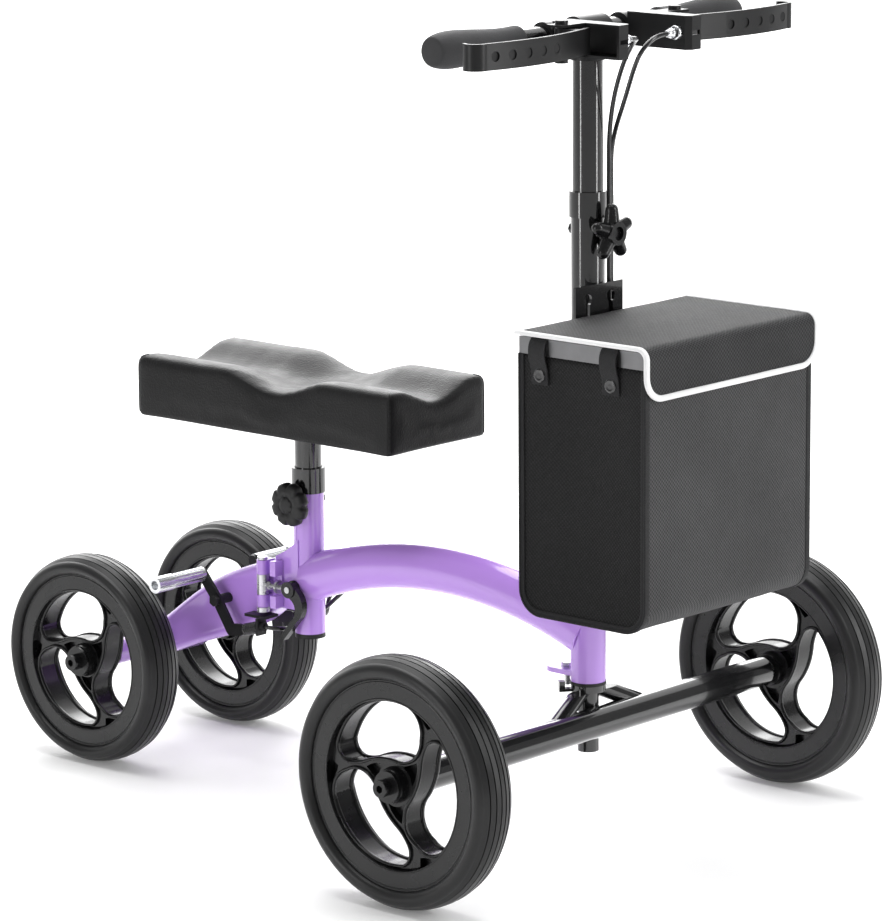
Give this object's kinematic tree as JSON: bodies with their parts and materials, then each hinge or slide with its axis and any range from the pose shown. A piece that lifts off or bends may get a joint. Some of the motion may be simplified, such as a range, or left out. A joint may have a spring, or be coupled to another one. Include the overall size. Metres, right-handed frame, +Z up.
{
  "type": "knee scooter",
  "caption": "Steerable knee scooter: padded knee rest on an arched frame, wide front axle, lidded front basket, hand brakes and a folding rear end.",
  "frame": {"origin": "on the floor under the middle of the whole scooter", "axes": "+Z up, forward (the basket's side) is -Y, the rider's left is +X"},
  "size_m": [0.673, 0.9185, 0.855],
  "materials": {
    "purple_paint": "glossy light purple enamel",
    "bright_steel": "zinc plated",
    "black_plastic": "satin moulded black",
    "black_paint": "glossy black powder coat",
    "cable_sheath": "dark grey sheath",
    "black_plastic_gloss": "glossy moulded black",
    "grip_foam": "dark grey soft rubber",
    "bright_alloy": "bright satin",
    "seat_board": "dark stained plywood under the pad",
    "pad_leather": "dark grey fine-grained upholstery",
    "basket_cloth": "black woven nylon",
    "rim_band": "mid-grey satin",
    "tyre_rubber": "solid tyre compound"
  },
  "bodies": {
    "frame": {"head_tube": "purple_paint", "stop_bolt": "bright_steel", "headset_cups": "black_plastic", "seat_tube": "purple_paint", "seat_tube_plug": "black_plastic", "seat_collar": "black_paint", "arch_tube": "purple_paint", "hinge_block": "purple_paint", "hinge_pin": "black_paint", "frame_cables": "cable_sheath"},
    "steering": {"steerer_tube": "black_paint", "crown_ring": "black_paint", "axle_beam": "black_paint", "fork_braces": "black_paint", "lower_stem": "black_paint", "stem_collar": "black_paint", "basket_bracket": "black_paint", "front_axle_bolts": "black_plastic_gloss", "front_bearings": "bright_steel", "neck_cables": "cable_sheath"},
    "handlebar": {"upper_stem": "black_paint", "handlebar": "black_paint", "bar_clamp": "black_paint", "handlebar_grips": "grip_foam", "brake_perches": "black_paint", "bar_cables": "cable_sheath"},
    "brake_lever_right": {"brake_lever_right": "black_paint"},
    "brake_lever_left": {"brake_lever_left": "black_paint"},
    "brake_right": {"brake_arm_right": "black_paint", "brake_roller_right": "bright_alloy"},
    "brake_left": {"brake_arm_left": "black_paint", "brake_roller_left": "bright_alloy"},
    "stem_knob": {"stem_knob": "black_plastic_gloss"},
    "seat_knob": {"seat_knob": "black_plastic_gloss"},
    "seat": {"seat_post": "black_paint", "seat_plate": "seat_board", "seat_pad": "pad_leather"},
    "basket": {"basket_fabric": "basket_cloth", "basket_rim": "rim_band", "basket_hooks": "bright_steel"},
    "lid": {"basket_lid": "basket_cloth"},
    "front_wheel_right": {"front_wheel_right": "black_plastic_gloss", "front_tyre_right": "tyre_rubber"},
    "front_wheel_left": {"front_wheel_left": "black_plastic_gloss", "front_tyre_left": "tyre_rubber"},
    "rear_wheel_right": {"rear_wheel_right": "black_plastic_gloss", "rear_tyre_right": "tyre_rubber"},
    "rear_wheel_left": {"rear_wheel_left": "black_plastic_gloss", "rear_tyre_left": "tyre_rubber"},
    "rear_frame": {"rear_neck": "purple_paint", "rear_axle_tube": "purple_paint", "rear_axle_bolts": "black_plastic_gloss", "rear_bearings": "bright_steel", "brake_mounts": "black_paint", "brake_spring_right": "black_paint", "brake_spring_left": "black_paint", "rear_cables": "cable_sheath", "latch_pin": "bright_steel"},
    "latch": {"latch_rod": "bright_steel"},
    "latch_lever": {"latch_lever": "black_plastic_gloss"}
  },
  "joints": [
    {"name": "steering_turn", "type": "hinge", "parent": "frame", "child": "steering", "pos_m": [0, -0.272, 0.2], "axis": [0, 0, 1], "range_deg": [-36, 36], "deforming": ["neck_cables"]},
    {"name": "bar_height", "type": "slide", "parent": "steering", "child": "handlebar", "axis": [0, 0, 1], "range_m": [-0.08, 0.06], "deforming": ["bar_cables"]},
    {"name": "lever_right", "type": "hinge", "parent": "handlebar", "child": "brake_lever_right", "pos_m": [-0.088, -0.312, 0.834], "axis": [0, 0, -1], "range_deg": [0, 12], "stiffness_Nm_per_rad": 0.8, "springref_deg": -11.46},
    {"name": "lever_left", "type": "hinge", "parent": "handlebar", "child": "brake_lever_left", "pos_m": [0.088, -0.312, 0.834], "axis": [0, 0, 1], "range_deg": [0, 12], "stiffness_Nm_per_rad": 0.8, "springref_deg": -11.46},
    {"name": "brake_right_turn", "type": "hinge", "parent": "rear_frame", "child": "brake_right", "pos_m": [-0.04, 0.218, 0.185], "axis": [-1, 0, 0], "range_deg": [0, 24], "deforming": ["brake_spring_right"]},
    {"name": "brake_left_turn", "type": "hinge", "parent": "rear_frame", "child": "brake_left", "pos_m": [0.04, 0.218, 0.185], "axis": [-1, 0, 0], "range_deg": [0, 24], "deforming": ["brake_spring_left"]},
    {"name": "stem_knob_turn", "type": "hinge", "parent": "steering", "child": "stem_knob", "pos_m": [0, -0.3, 0.634], "axis": [0, -1, 0], "continuous": true},
    {"name": "seat_knob_turn", "type": "hinge", "parent": "frame", "child": "seat_knob", "pos_m": [-0.03, 0.118, 0.303], "axis": [-1, 0, 0], "continuous": true},
    {"name": "seat_height", "type": "slide", "parent": "frame", "child": "seat", "axis": [0, 0, 1], "range_m": [-0.04, 0.06]},
    {"name": "basket_lift", "type": "slide", "parent": "steering", "child": "basket", "axis": [0, 0, 1], "range_m": [0, 0.027]},
    {"name": "lid_lift", "type": "hinge", "parent": "basket", "child": "lid", "pos_m": [0, -0.2985, 0.5515], "axis": [-1, 0, 0], "range_deg": [0, 65]},
    {"name": "rear_fold", "type": "hinge", "parent": "frame", "child": "rear_frame", "pos_m": [0.021, 0.152, 0.21], "axis": [0, 0, -1], "range_deg": [0, 90], "deforming": ["rear_cables"]},
    {"name": "latch_swing", "type": "hinge", "parent": "rear_frame", "child": "latch", "pos_m": [-0.027, 0.162, 0.209], "axis": [0, 0, -1], "range_deg": [0, 90]},
    {"name": "latch_open", "type": "hinge", "parent": "latch", "child": "latch_lever", "pos_m": [-0.027, 0.121, 0.209], "axis": [-1, 0, 0], "range_deg": [0, 90]},
    {"name": "front_wheel_right_spin", "type": "hinge", "parent": "steering", "child": "front_wheel_right", "pos_m": [-0.301, -0.288, 0.127], "axis": [1, 0, 0], "continuous": true},
    {"name": "front_wheel_left_spin", "type": "hinge", "parent": "steering", "child": "front_wheel_left", "pos_m": [0.301, -0.288, 0.127], "axis": [1, 0, 0], "continuous": true},
    {"name": "rear_wheel_right_spin", "type": "hinge", "parent": "rear_frame", "child": "rear_wheel_right", "pos_m": [-0.111, 0.34, 0.115], "axis": [1, 0, 0], "continuous": true},
    {"name": "rear_wheel_left_spin", "type": "hinge", "parent": "rear_frame", "child": "rear_wheel_left", "pos_m": [0.111, 0.34, 0.115], "axis": [1, 0, 0], "continuous": true}
  ],
  "couplings": [
    {"joint": "brake_right_turn", "follows": "lever_right", "ratio": 2},
    {"joint": "brake_left_turn", "follows": "lever_left", "ratio": 2}
  ]
}
